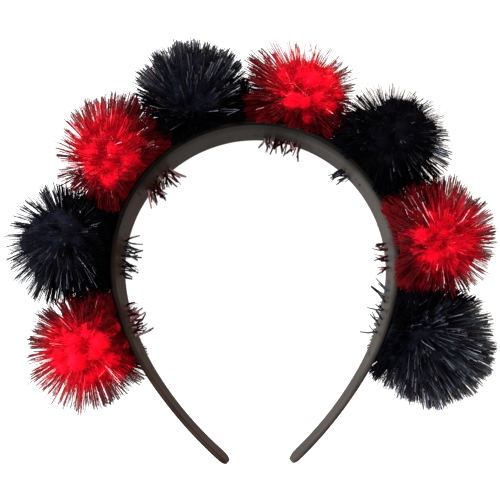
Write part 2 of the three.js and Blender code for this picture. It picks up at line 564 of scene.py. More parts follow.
@dataclass
class StrandBundle:
    """Thin closed strands, gathered as arrays until they become one mesh with its maps."""

    points: list[Array] = field(default_factory=list)
    faces: list[Array] = field(default_factory=list)
    maps: list[Array] = field(default_factory=list)
    slots: list[Array] = field(default_factory=list)
    total: int = 0
    map_edge: float = 0.012

    def add(
        self,
        kind: Strand,
        lines: Array,
        across: Array,
        width: Array,
        depth: Array,
        shade: Array,
        along: Array,
    ) -> None:
        """Adds strands of one kind, each a three-sided spike or strip.

        Args:
            kind: kind of strand.
            lines: middle lines, as strands by stations by 3.
            across: direction of each strand's wide side.
            width: full width, as strands by stations; a last width of 0 makes a point.
            depth: thickness, as strands by stations.
            shade: place of each strand in its finish, from 0 to 1.
            along: place in the finish's run from root to tip, as strands by stations.
        """
        strands, stations, _ = lines.shape
        travel = unit(np.gradient(lines, axis=1))
        wide = across[:, None, :] - travel * np.sum(across[:, None, :] * travel, axis=-1, keepdims=True)
        wide = unit(wide)
        lift = np.cross(travel, wide)
        half = wide * width[:, :, None] / 2
        rings = np.stack([lines - half, lines + half, lines + lift * depth[:, :, None]], axis=2)
        maps = np.empty((strands, stations, RING, 2))
        maps[..., 0] = shade[:, None, None] + np.array([-self.map_edge, self.map_edge, 0.0])
        maps[..., 1] = along[:, :, None] + np.array([0.0, 0.0, 2 * self.map_edge])
        size = RING * stations
        points = rings.reshape(strands, size, 3)
        maps = maps.reshape(strands, size, 2)
        pointed = bool(np.all(width[:, -1] == 0))
        if pointed:
            size -= RING - 1
            points = np.concatenate([points[:, : size - 1], lines[:, -1:]], axis=1)
            maps = maps[:, :size]
        starts = self.total + size * np.arange(strands)
        faces = (starts[:, None, None] + strand_faces(stations, pointed)).reshape(-1, 3)
        self.gather(kind, points.reshape(-1, 3), faces, maps.reshape(-1, 2))

    def add_shell(
        self, kind: Strand, points: Array, directions: Array, faces: Array, shade: float, along: Array
    ) -> None:
        """Adds a closed shell, such as the core of a pompom.

        Args:
            kind: kind of strand whose finish the shell takes.
            points: vertices of the shell.
            directions: unit directions of the vertices from the middle.
            faces: triangles of the shell.
            shade: place in the finish, from 0 to 1.
            along: place in the finish's run from root to tip, for each vertex.
        """
        places = np.column_stack([np.full(len(points), shade), along])
        self.gather(kind, points, faces + self.total, places + self.map_edge * directions[:, :2])

    def gather(self, kind: Strand, points: Array, faces: Array, maps: Array) -> None:
        """Keeps arrays for the mesh.

        Args:
            kind: kind of strand.
            points: vertices, one row each.
            faces: triangles, by the vertices' numbers in the whole bundle.
            maps: place of each vertex on the strand map.
        """
        self.points.append(points)
        self.faces.append(faces)
        self.maps.append(maps)
        self.slots.append(np.full(len(faces), kind.value, dtype=np.int32))
        self.total += len(points)

    def build(self, name: str, materials: list[Material]) -> Piece:
        """Joins all strands into one object with its strand map and its bake map.

        Args:
            name: name of the object.
            materials: fluff and tinsel materials, in slot order.

        Returns:
            The object.
        """
        faces = np.concatenate(self.faces)
        slots = np.concatenate(self.slots)
        made = mesh_object(name, np.concatenate(self.points), faces, materials)
        mesh = made.data
        mesh.polygons.foreach_set("material_index", slots)
        mesh.polygons.foreach_set("use_smooth", slots == Strand.FLUFF.value)
        corners = np.concatenate(self.maps)[faces]
        add_map(mesh, STRAND_MAP, corners)
        add_map(mesh, BAKE_MAP, corners * BAKE_SCALE + BAKE_MARGIN + BAKE_SHIFT * slots[:, None, None])
        mesh.update()
        return made


# The band's path, shared by every piece


@dataclass(frozen=True)
class PathArc:
    """One arc of the band's inner face: radius in metres and turn in radians."""

    radius: float
    turn: float


@dataclass
class BandPath:
    """Inner face of the band from the crown to each tip, in the frame's own place."""

    arcs: tuple[PathArc, ...] = (
        PathArc(58.4 * MM, radians(100)),
        PathArc(99.0 * MM, radians(22)),
        PathArc(163.0 * MM, radians(17)),
    )
    thickness: float = 2.0 * MM
    crown_width: float = 25.0 * MM
    tip_width: float = 8.5 * MM
    taper_start: float = 10.0 * MM
    taper_end: float = 170.0 * MM
    origin: Vector = field(init=False)

    def __post_init__(self) -> None:
        """Finds the middle of the crown arc from the band's box."""
        low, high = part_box("band")
        crown = self.arcs[0].radius + self.thickness
        self.origin = Vector(((low.x + high.x) / 2, high.y - crown, (low.z + high.z) / 2))

    @property
    def half_length(self) -> float:
        """Length of the inner face from the crown to a tip."""
        return sum(arc.radius * arc.turn for arc in self.arcs)

    def place(self, along: float) -> tuple[Array, Array, Array]:
        """Finds a place on the inner face.

        Args:
            along: distance from the crown, negative on the left.

        Returns:
            The point, the outward normal and the direction of travel.
        """
        side = -1.0 if along < 0 else 1.0
        x, y, angle, left = 0.0, self.arcs[0].radius, 0.0, abs(along)
        for arc in self.arcs:
            run = min(left, arc.radius * arc.turn)
            after = angle + run / arc.radius
            x += arc.radius * (sin(after) - sin(angle))
            y += arc.radius * (cos(after) - cos(angle))
            angle = after
            left -= run
        point = np.array(self.origin) + np.array([side * x, y, 0.0])
        normal = np.array([side * sin(angle), cos(angle), 0.0])
        return point, normal, np.array([normal[1], -normal[0], 0.0])

    def bend_radius(self, along: float) -> float:
        """Finds the radius of the inner face.

        Args:
            along: distance from the crown, negative on the left.

        Returns:
            The radius of the arc at that place.
        """
        left = abs(along)
        for arc in self.arcs[:-1]:
            if left <= arc.radius * arc.turn:
                return arc.radius
            left -= arc.radius * arc.turn
        return self.arcs[-1].radius

    def width(self, along: float) -> float:
        """Finds the width of the band before its tips are rounded.

        Args:
            along: distance from the crown, negative on the left.

        Returns:
            The width at that place.
        """
        share = (abs(along) - self.taper_start) / (self.taper_end - self.taper_start)
        share = min(max(share, 0.0), 1.0)
        return self.crown_width - (self.crown_width - self.tip_width) * share**2 * (3 - 2 * share)


@dataclass
class MouldedBand:
    """The plastic band: a tapered strip with soft edges and round tips."""

    path: BandPath
    edge_radius: float = 0.6 * MM
    edge_most: float = 0.48
    edge_steps: int = 4
    support: float = 0.12 * MM
    support_most: float = 0.2
    stations: int = 150
    tip_steps: int = 9
    tip_turn: float = radians(86)

    def section(self, half_width: float) -> list[Span]:
        """Outline across the band, as outward offsets and heights.

        Args:
            half_width: half the band's width at this place.

        Returns:
            The outline's points in order.
        """
        edge = min(self.edge_radius, self.edge_most * half_width)
        flat = half_width - edge
        outer = self.path.thickness - edge
        corners = ((edge, -flat, -pi), (outer, -flat, -pi / 2), (outer, flat, 0.0), (edge, flat, pi / 2))
        beside = min(self.support, self.support_most * flat)
        outline = []
        for offset, height, start in corners:
            middle = np.array([offset, height])
            angles = [start + pi / 2 * step / self.edge_steps for step in range(self.edge_steps + 1)]
            arc = [middle + edge * np.array([cos(angle), sin(angle)]) for angle in angles]
            before = np.array([-sin(angles[0]), cos(angles[0])])
            after = np.array([-sin(angles[-1]), cos(angles[-1])])
            outline += [arc[0] - beside * before, *arc, arc[-1] + beside * after]
        return [(float(offset), float(height)) for offset, height in outline]

    def sections(self) -> list[Span]:
        """Lists the places along the band.

        Returns:
            Distances from the crown, each with the half width there.
        """
        tip = self.path.tip_width / 2
        straight = self.path.half_length - tip
        places = [straight * index / self.stations for index in range(self.stations + 1)]
        rows = [(along, self.path.width(along) / 2) for along in places]
        for step in range(1, self.tip_steps + 1):
            angle = self.tip_turn * step / self.tip_steps
            rows.append((straight + tip * sin(angle), tip * cos(angle)))
        return [(-along, half) for along, half in reversed(rows[1:])] + rows

    def build(self, finish: PlasticFinish) -> Piece:
        """Builds and dresses the band.

        Args:
            finish: the plastic.

        Returns:
            The band's object.
        """
        rings = []
        for along, half_width in self.sections():
            point, normal, _ = self.path.place(along)
            outline = self.section(half_width)
            rings.append([point + normal * offset + RISE * height for offset, height in outline])
        grid = np.array(rings)
        count, size, _ = grid.shape
        index = np.arange(count * size).reshape(count, size)
        beside = np.roll(index, -1, axis=1)
        sides = np.stack([index[:-1], beside[:-1], beside[1:], index[1:]], axis=-1).reshape(-1, 4)
        made = mesh_object("moulded_band", grid.reshape(-1, 3), sides, [finish.material()])
        self.close_ends(made, index)
        self.add_run(made)
        made.data.polygons.foreach_set("use_smooth", np.ones(len(made.data.polygons), dtype=bool))
        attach(made, BODY)
        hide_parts("band")
        return made

    def add_run(self, made: Piece) -> None:
        """Adds the map that the plastic reads: place from tip to tip, and place through the thickness.

        Args:
            made: the band's object.
        """
        length = 2 * self.path.half_length
        places = []
        for along, half_width in self.sections():
            for offset, _ in self.section(half_width):
                places.append((along / length + 0.5, offset / self.path.thickness))
        corners = np.empty(len(made.data.loops), dtype=np.int32)
        made.data.loops.foreach_get("vertex_index", corners)
        add_map(made.data, BAND_MAP, np.array(places)[corners])

    def close_ends(self, made: Piece, index: Array) -> None:
        """Closes the two ends of the sweep.

        Args:
            made: the band's object.
            index: vertex numbers, as rings by corners.
        """
        work = bmesh.new()
        work.from_mesh(made.data)
        work.verts.ensure_lookup_table()
        for ring in (index[0][::-1], index[-1]):
            work.faces.new([work.verts[number] for number in ring.tolist()])
        bmesh.ops.recalc_face_normals(work, faces=work.faces)
        work.to_mesh(made.data)
        work.free()


# Pompoms


@dataclass(frozen=True)
class Limit:
    """A plane that holds strands back: its normal, its distance from the middle, and if it gives way."""

    normal: Array
    distance: float
    gives: bool


@dataclass(frozen=True)
class Fade:
    """A straight change from 0 to 1, as a slope and an offset."""

    slope: float
    offset: float

    def at(self, values: Array) -> Array:
        """Gives a share from 0 to 1 for each value."""
        return np.clip(self.slope * values - self.offset, 0, 1)


@dataclass(frozen=True)
class Puffs:
    """The joined balls of fluff in a pompom's middle; lengths are shares of its radius."""

    count: int = 150
    jitter: float = 0.08
    seat: Span = (0.5, 0.62)
    size: Span = (0.07, 0.17)
    band_fill: float = 0.22
    at_band: Fade = Fade(-1.4, 0.2)
    core: float = 0.5
    core_splits: int = 5
    core_shade: float = 0.36
    core_along: float = 0.6
    # painted shade: the core is darker in the hollows between puffs and lighter on their crests
    painted_shade_hollow: float = 0.56
    painted_shade_crest: float = 0.17


@dataclass(frozen=True)
class Fluff:
    """The fine fluff on the puffs; lengths but the widths are shares of the pompom's radius."""

    count: int = 17000
    root: float = 0.8
    reach: float = 0.095
    reach_span: Span = (0.3, 1.4)
    bend: float = 0.35
    width: Span = (0.18 * MM, 0.32 * MM)
    flatness: float = 0.85
    puff_tint: Span = (0.5, 0.2)
    puff_tint_most: float = 0.62
    tint_spread: float = 0.25


@dataclass(frozen=True)
class ThinSides:
    """What the thin sides of a pompom have less of; lengths are shares of its radius."""

    rise: float = 0.1
    edge: float = 0.8
    span: float = 0.14
    inset: float = 0.15
    loss: float = 0.35
    reach: Span = (-0.14, 0.05)
    narrowing: float = 0.5


@dataclass(frozen=True)
class ThinPatches:
    """Round patches that have lost most of their tinsel."""

    count: int = 3
    jitter: float = 0.4
    edge: float = 0.945
    loss: float = 0.7
    on_top: Fade = Fade(2.2, 0.7)


@dataclass(frozen=True)
class Crevices:
    """Tinsel packed into the crevices beside the band and the neighbours, and the painted shade (gloom) that
    darkens strands there.
    """

    share: float = 0.4
    turn: tuple[float, float, float] = (0.0, 0.55, 1.08)
    rise: float = 0.35
    reach: float = 0.16
    slack: float = 3.0 * MM
    slack_span: Span = (-0.7, 1.0)
    # painted shade reaches this far from a neighbour
    neighbour_gloom: float = 4.5 * MM
    gloom: Fade = Fade(-1.2, -1.2)
    crowded: Fade = Fade(2.2, 0.8)
    inward: Fade = Fade(-2.5, 1.0)
    raised: Fade = Fade(4.0, 0.8)


@dataclass(frozen=True)
class Shine:
    """How tinsel catches the light, painted into its colour: pale strips are partly paler tinsel and partly
    painted glints, strips at the top of the ball keep lighter tips (painted light), and strips deep in a
    crevice are darkened (painted shade).
    """

    plain_most: float = 0.85
    # painted highlight: more pale strips gather as glints on one side
    painted_glint_rise: float = 0.7
    painted_glint_edge: float = 0.93
    painted_glint_gain: float = 6.0
    pale_width: float = 0.5
    pale_along: float = 0.5
    # painted light: strips that point up keep lighter tips
    top: Fade = Fade(2.2, 1.0)
    painted_top_light: float = 0.6
    # painted shade: strips deep in a crevice are darkened and made matte
    sunk: float = 0.8
    gloom_shade: float = 0.8
    gloom_along: float = 0.9
    matte: float = 0.1


@dataclass(frozen=True)
class Strays:
    """Loose strips that lie across the fluff; lengths but the width are shares of the radius."""

    count: int = 9
    jitter: float = 0.2
    drift: float = 0.42
    drift_span: Span = (0.5, 1.0)
    kink: float = 0.5
    reaches: tuple[float, float, float] = (0.68, 0.8, 0.84)
    width: float = 0.17 * MM
    flatness: float = 0.2
    # the pale shade is partly paler tinsel and partly painted glints
    shades: Span = (0.1, 0.93)
    along: float = 0.3


@dataclass(frozen=True)
class Growth:
    """How one kind of tinsel grows out of a pompom; lengths but the widths are shares of its radius."""

    count: int
    root: float
    tip: float
    spread: float
    clumps: int
    pull: float
    lean: float
    tangle: float
    width: Span
    flatness: float
    crevice: float
    shade: Span
    pale_share: float = 0.0
    stations: int = 2
    sway: float = 0.0
    tip_width: float = 0.8
    longest: float = 1.03
    jitter: float = 0.045
    clump_jitter: float = 0.05


STRIPS = Growth(
    count=2300,
    root=0.5,
    tip=0.965,
    spread=0.03,
    clumps=330,
    pull=0.42,
    lean=0.06,
    tangle=0.03,
    width=(0.3 * MM, 0.6 * MM),
    flatness=0.22,
    crevice=0.13,
    shade=(0.42, 0.18),
    pale_share=0.03,
)
BENT_STRIPS = Growth(
    count=160,
    root=0.55,
    tip=0.96,
    spread=0.05,
    clumps=160,
    pull=0.1,
    lean=0.1,
    tangle=0.07,
    width=(0.3 * MM, 0.5 * MM),
    flatness=0.22,
    crevice=0.1,
    shade=(0.42, 0.18),
    pale_share=0.08,
    stations=3,
    sway=0.055,
)
HAIRS = Growth(
    count=800,
    root=0.55,
    tip=0.95,
    spread=0.05,
    clumps=300,
    pull=0.2,
    lean=0.06,
    tangle=0.06,
    width=(0.12 * MM, 0.22 * MM),
    flatness=0.85,
    crevice=0.12,
    shade=(0.25, 0.15),
    tip_width=0.0,
)


@dataclass
class Pompom:
    """One pompom: a lumpy fluffy ball with longer tinsel strips standing out of it."""

    path: BandPath
    number: int
    tone: Tone
    along: float
    standoff: float
    radius: float
    overhang: float
    # painted shade reaches this far from the band
    band_gloom: float
    reach: float
    long_side: Span
    shift: Span
    lobe: Span
    density: float
    fluffy_top: float
    bare_lean: Span
    thin_turns: tuple[float, ...]
    # painted highlight: the side where pale strips gather as glints
    painted_glint_turn: float
    # brightness of this pompom; on its strips it grows as their tips point up, a painted top light
    glow: float
    clearance: float = 0.3 * MM
    puffs: Puffs = Puffs()
    fluff: Fluff = Fluff()
    thin: ThinSides = ThinSides()
    patch: ThinPatches = ThinPatches()
    crevices: Crevices = Crevices()
    shine: Shine = Shine()
    strays: Strays = Strays()
    limits: list[Limit] = field(default_factory=list)
    draw: np.random.Generator = field(init=False)
    outward: Array = field(init=False)
    middle: Array = field(init=False)
    source: Array = field(init=False)
    hub: Array = field(init=False)
    hub_radius: float = field(init=False)
    near_edge: float = field(init=False)
    sides: Array = field(init=False)
    bare: Array = field(init=False)
    # direction of the painted glints
    bright: Array = field(init=False)
    puff_seats: Array = field(init=False)
    puff_sizes: Array = field(init=False)
    patches: Array = field(init=False)

    def __post_init__(self) -> None:
        """Finds the pompom's place and its sides, and draws the puffs and the thin patches."""
        self.draw = np.random.default_rng(POMPOM_SEED + self.number)
        point, self.outward, _ = self.path.place(self.along)
        self.middle = point + self.outward * (self.path.thickness + self.standoff)
        self.source = self.middle + self.radius * np.array([*self.shift, 0.0])
        bend = self.path.bend_radius(self.along)
        self.hub = point - self.outward * bend
        self.hub_radius = bend + self.path.thickness + self.clearance
        self.near_edge = point[2] + self.path.width(self.along) / 2 + self.clearance
        self.sides = np.array([compass(turn, self.thin.rise) for turn in self.thin_turns])
        self.bare = unit(np.array([*self.bare_lean, 1.0]))
        self.bright = unit(compass(self.painted_glint_turn, self.shine.painted_glint_rise))
        puffs = self.puffs
        seats = even_directions(puffs.count, self.draw, puffs.jitter)
        fill = 1 - self.thin.inset * self.thinness(seats)
        fill += puffs.band_fill * puffs.at_band.at(seats @ self.outward)
        seats = seats * fill[:, None] * self.draw.uniform(*puffs.seat, (puffs.count, 1))
        self.puff_seats = seats + np.array([*self.lobe, 0.0])
        self.puff_sizes = self.draw.uniform(*puffs.size, puffs.count)
        self.patches = even_directions(self.patch.count, self.draw, self.patch.jitter)

    @property
    def node(self) -> str:
        """Name of the solid that this pompom stands for."""
        return f"pompom_{self.number}_{self.tone.value}"

    @property
    def beside(self) -> list[Limit]:
        """The planes midway to the neighbours."""
        return [limit for limit in self.limits if limit.gives]

    def find_limits(self, neighbours: list["Pompom"]) -> None:
        """Sets the planes that hold the strands back: the floor, and midway to each neighbour.

        Args:
            neighbours: the pompoms on either side.
        """
        self.limits = [Limit(-RISE, self.path.origin.z - self.clearance, False)]
        for neighbour in neighbours:
            across = neighbour.middle - self.middle
            length = float(np.linalg.norm(across))
            self.limits.append(Limit(across / length, length / 2 - self.clearance, True))

    def held_back(self, points: Array, slack: Array | float = 0.0, overhang: float = 0.0) -> Array:
        """Moves points that lie past the floor, a neighbour or the band back to where they meet it.

        Args:
            points: points in the frame.
            slack: how far points may pass into a neighbour's space.
            overhang: how far points above the band's near edge may hang over it.

        Returns:
            The moved points.
        """
        for limit in self.limits:
            room = limit.distance + (slack if limit.gives else 0.0)
            past = np.maximum((points - self.middle) @ limit.normal - room, 0)
            points = points - past[:, None] * limit.normal
        spoke = (points - self.hub) * LEVEL
        over = np.clip(points[:, 2] - self.near_edge, 0, overhang)
        short = np.maximum(self.hub_radius - over - np.linalg.norm(spoke, axis=1), 0)
        return points + unit(spoke) * short[:, None]

    def core_reach(self, directions: Array) -> Array:
        """Finds how far the joined puffs reach.

        Args:
            directions: unit directions from the middle.

        Returns:
            The reach in each direction, as a share of the radius.
        """
        towards = directions @ self.puff_seats.T
        apart = np.sum(self.puff_seats**2, axis=1) - self.puff_sizes**2
        inside = towards**2 - apart
        reach = np.where(inside > 0, towards + np.sqrt(np.maximum(inside, 0)), 0.0)
        return np.maximum(np.max(reach, axis=1), self.puffs.core)

    def crowding(self, directions: Array) -> Array:
        """How straight each direction points at the band or a neighbour, up to 1."""
        towards = [-self.outward] + [limit.normal for limit in self.beside]
        return np.max(directions @ np.array(towards).T, axis=1)

    def thinness(self, directions: Array) -> Array:
        """Finds which directions lie on a thin side.

        Args:
            directions: unit directions from the middle.

        Returns:
            Values from 0 outside to 1 well within a thin side.
        """
        if not len(self.sides):
            return np.zeros(len(directions))
        nearness = np.max(directions @ self.sides.T, axis=1)
        return np.clip((nearness - self.thin.edge) / self.thin.span, 0, 1)

    def gloom(self, points: Array) -> Array:
        """Finds how deep points lie in the dark beside the band or a neighbour, which sets the painted shade
        there.

        Args:
            points: points in the frame.

        Returns:
            Values from 0 in the open to 1 where the pompom touches what is beside it.
        """
        spoke = (points - self.hub) * LEVEL
        room = [(np.linalg.norm(spoke, axis=1) - self.hub_radius) / self.band_gloom]
        for limit in self.beside:
            left = limit.distance - (points - self.middle) @ limit.normal
            room.append(left / self.crevices.neighbour_gloom)
        return self.crevices.gloom.at(np.min(room, axis=0))

    def crevice_directions(self, count: int) -> Array:
        """Draws directions into the crevices that the pompom forms with the band and each neighbour.

        Args:
            count: number of directions for each neighbour.

        Returns:
            Unit vectors, one row each.
        """
        found = []
        for limit in self.beside:
            turn = self.draw.triangular(*self.crevices.turn, (count, 1))
            flat = limit.normal * turn - self.outward * (1 - turn)
            found.append(unit(flat + self.draw.normal(0, self.crevices.rise, (count, 1)) * RISE))
        return np.concatenate(found)

    def thinned(self, directions: Array) -> Array:
        """Leaves out strands of the thin patches, the thin sides and the bare top.

        Args:
            directions: unit directions of the strands.

        Returns:
            The directions that are kept.
        """
        patch = self.patch
        chance = np.where(np.max(directions @ self.patches.T, axis=1) > patch.edge, patch.loss, 0.0)
        chance = np.maximum(chance, self.thin.loss * self.thinness(directions))
        chance = np.maximum(chance, self.fluffy_top * patch.on_top.at(directions @ self.bare))
        return directions[self.draw.uniform(0, 1, len(directions)) >= chance]

    def draw_tips(self, growth: Growth, ways: Array, packed: Array) -> tuple[Array, Array]:
        """Draws where strands point and how far they reach.

        Args:
            growth: the kind of tinsel.
            ways: unit directions of the strands before they lean together in clumps.
            packed: which strands fill a crevice.

        Returns:
            Unit directions of the tips, and their reach as shares of the radius.
        """
        draw = self.draw
        crevices = self.crevices
        clumps = even_directions(growth.clumps, draw, growth.clump_jitter)
        nearest = np.argmax(ways @ clumps.T, axis=1)
        lean = draw.normal(0, growth.lean, clumps.shape)[nearest]
        tips = unit(ways * (1 - growth.pull) + clumps[nearest] * growth.pull + lean)
        tips = unit(tips + draw.normal(0, growth.tangle, tips.shape))
        share = growth.tip + draw.normal(0, growth.spread, growth.clumps)[nearest]
        share = np.minimum(share + draw.normal(0, growth.spread, len(ways)), growth.longest)
        share *= self.reach + tips[:, :2] @ np.array(self.long_side)
        share += self.thinness(tips) * draw.uniform(*self.thin.reach, len(ways))
        share += growth.crevice * crevices.crowded.at(self.crowding(tips))
        share[packed] += draw.uniform(0, crevices.reach, np.count_nonzero(packed))
        inward = crevices.inward.at(tips @ self.outward) * crevices.raised.at(tips[:, 2])
        return tips, share + inward * self.overhang / self.radius

    def draw_lines(self, growth: Growth, ways: Array, tips: Array, share: Array) -> Array:
        """Draws the middle lines of strands.

        Args:
            growth: the kind of tinsel.
            ways: unit directions of the strands before they lean together in clumps.
            tips: unit directions of the tips.
            share: reach of the tips, as shares of the radius.

        Returns:
            The lines, as strands by stations by 3.
        """
        count = len(ways)
        slack = self.crevices.slack * self.draw.uniform(*self.crevices.slack_span, count)
        ends = self.held_back(self.middle + tips * (share * self.radius)[:, None], slack, self.overhang)
        roots = self.middle + (ways - tips) * growth.root * self.radius
        source = roots + self.source - self.middle
        starts = self.held_back(source + growth.root * (ends - source))
        steps = np.linspace(0, 1, growth.stations)
        lines = starts[:, None] + (ends - starts)[:, None] * steps[None, :, None]
        lines[:, 1:-1] += self.draw.normal(0, growth.sway * self.radius, (count, growth.stations - 2, 3))
        return lines

    def grow(self, bundle: StrandBundle, growth: Growth) -> None:
        """Adds all tinsel of one kind.

        Args:
            bundle: the bundle that gets it.
            growth: the kind of tinsel.
        """
        draw = self.draw
        shine = self.shine
        open_ways = self.thinned(even_directions(int(growth.count * self.density), draw, growth.jitter))
        packed_ways = self.crevice_directions(int(growth.count * self.crevices.share))
        ways = np.concatenate([open_ways, packed_ways])
        count = len(ways)
        packed = np.arange(count) >= len(open_ways)
        tips, share = self.draw_tips(growth, ways, packed)
        lines = self.draw_lines(growth, ways, tips, share)
        # painted shade: strips that reach into a crevice darken towards it
        gloom = self.gloom(lines.reshape(-1, 3)).reshape(count, growth.stations)
        sunk = gloom[:, -1] > shine.sunk
        raised = np.clip(tips[:, 2], 0, 1)
        # painted light: the glow lightens strips more the further their tips point up
        shade = np.clip(draw.normal(*growth.shade, count) + self.glow * raised, 0, shine.plain_most)
        # painted highlight: pale strips are partly paler tinsel and partly painted glints, gathered on the
        # painted glint side
        bright = tips @ self.bright > shine.painted_glint_edge
        pale_chance = growth.pale_share * np.where(bright, shine.painted_glint_gain, 1)
        pale = (draw.uniform(0, 1, count) < pale_chance) & ~sunk
        # painted shade: crevice strips and deeply sunk strips take the dark matte fluff finish
        matte = (packed | sunk) & ~pale
        wide = draw.uniform(*growth.width, count) * np.where(pale, shine.pale_width, 1.0)
        wide *= 1 - self.thin.narrowing * self.thinness(tips)
        width = np.repeat(wide[:, None], growth.stations, axis=1)
        width[:, -1] *= growth.tip_width
        across = any_directions(count, draw)
        shade = np.where(pale, 1.0, shade * (1 - shine.gloom_shade * gloom[:, -1]))
        # painted light: strips that point up keep lighter tips
        on_top = 1 - shine.painted_top_light * shine.top.at(tips[:, 2])
        along = np.maximum(on_top[:, None] * np.linspace(0, 1, growth.stations), shine.gloom_along * gloom)
        along[pale] *= shine.pale_along
        along[matte] *= shine.matte
        shade[matte] *= shine.matte
        looks = (lines, across, width, growth.flatness * width, shade, along)
        bundle.add(Strand.TINSEL, *(values[~matte] for values in looks))
        bundle.add(Strand.FLUFF, *(values[matte] for values in looks))

    def add_core(self, bundle: StrandBundle) -> None:
        """Adds the ball of joined puffs that the fluff grows on.

        Args:
            bundle: the bundle that gets it.
        """
        puffs = self.puffs
        work = bmesh.new()
        bmesh.ops.create_icosphere(work, subdivisions=puffs.core_splits, radius=1.0)
        directions = np.array([vertex.co for vertex in work.verts])
        faces = np.array([[vertex.index for vertex in face.verts] for face in work.faces])
        work.free()
        reach = self.core_reach(directions)
        points = self.held_back(self.middle + directions * (reach * self.radius)[:, None])
        # painted shade: darker in the hollows between puffs, lighter on their crests, and darker in the
        # crevices
        painted_shade_crest = np.clip((reach - puffs.painted_shade_hollow) / puffs.painted_shade_crest, 0, 1)
        along = puffs.core_along * painted_shade_crest * (1 - self.gloom(points))
        bundle.add_shell(Strand.FLUFF, points, directions, faces, puffs.core_shade + self.glow, along)

    def add_fluff(self, bundle: StrandBundle) -> None:
        """Adds the fine fluff, which stands out of each puff on all sides.

        Args:
            bundle: the bundle that gets it.
        """
        draw = self.draw
        fluff = self.fluff
        count = fluff.count
        puff = draw.integers(0, self.puffs.count, count)
        seats = self.puff_seats[puff]
        sizes = self.puff_sizes[puff][:, None]
        outward = unit(seats)
        ways = any_directions(count, draw)
        behind = np.minimum(np.sum(ways * outward, axis=1, keepdims=True), 0)
        ways = ways - 2 * behind * outward
        reach = fluff.reach * draw.uniform(*fluff.reach_span, (count, 1))
        bent = unit(ways + draw.normal(0, fluff.bend, (count, 3)))
        roots = self.middle + self.radius * (seats + fluff.root * sizes * ways)
        tips = self.middle + self.radius * (seats + sizes * ways + reach * bent)
        lines = np.stack([self.held_back(roots), self.held_back(tips)], axis=1)
        width = np.column_stack([draw.uniform(*fluff.width, count), np.zeros(count)])
        tint = np.minimum(draw.normal(*fluff.puff_tint, self.puffs.count), fluff.puff_tint_most)[puff]
        shade = np.clip(tint + draw.normal(0, fluff.tint_spread, count) + self.glow, 0, 1)
        across = any_directions(count, draw)
        # painted shade: fluff darkens towards its roots and in the crevices beside the band and the
        # neighbours
        bright = 1 - self.gloom(tips)
        along = np.column_stack([np.zeros(count), bright])
        bundle.add(Strand.FLUFF, lines, across, width, fluff.flatness * width, shade * bright, along)

    def add_strays(self, bundle: StrandBundle) -> None:
        """Adds loose strips that lie across the fluff, each with a kink.

        Args:
            bundle: the bundle that gets them.
        """
        draw = self.draw
        strays = self.strays
        count = strays.count
        roots = even_directions(count, draw, strays.jitter)
        drift = np.cross(roots, any_directions(count, draw))
        elbows = unit(roots + strays.drift * drift * draw.uniform(*strays.drift_span, (count, 1)))
        tips = unit(elbows + strays.kink * np.cross(elbows, any_directions(count, draw)))
        ways = zip((roots, elbows, tips), strays.reaches)
        stations = [self.held_back(self.middle + way * reach * self.radius) for way, reach in ways]
        lines = np.stack(stations, axis=1)
        width = np.full(lines.shape[:2], strays.width)
        shade = draw.choice(strays.shades, count)
        along = np.full(lines.shape[:2], strays.along)
        bundle.add(Strand.TINSEL, lines, roots, width, strays.flatness * width, shade, along)

    def build(self, materials: list[Material]) -> Piece:
        """Builds and dresses the pompom.

        Args:
            materials: fluff and tinsel materials of its tone.

        Returns:
            The pompom's object.
        """
        bundle = StrandBundle()
        self.add_core(bundle)
        self.add_fluff(bundle)
        for growth in (STRIPS, BENT_STRIPS, HAIRS):
            self.grow(bundle, growth)
        self.add_strays(bundle)
        made = bundle.build(f"tinsel_pompom_{self.number}", materials)
        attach(made, BODY)
        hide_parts(self.node)
        return made


# Tufts


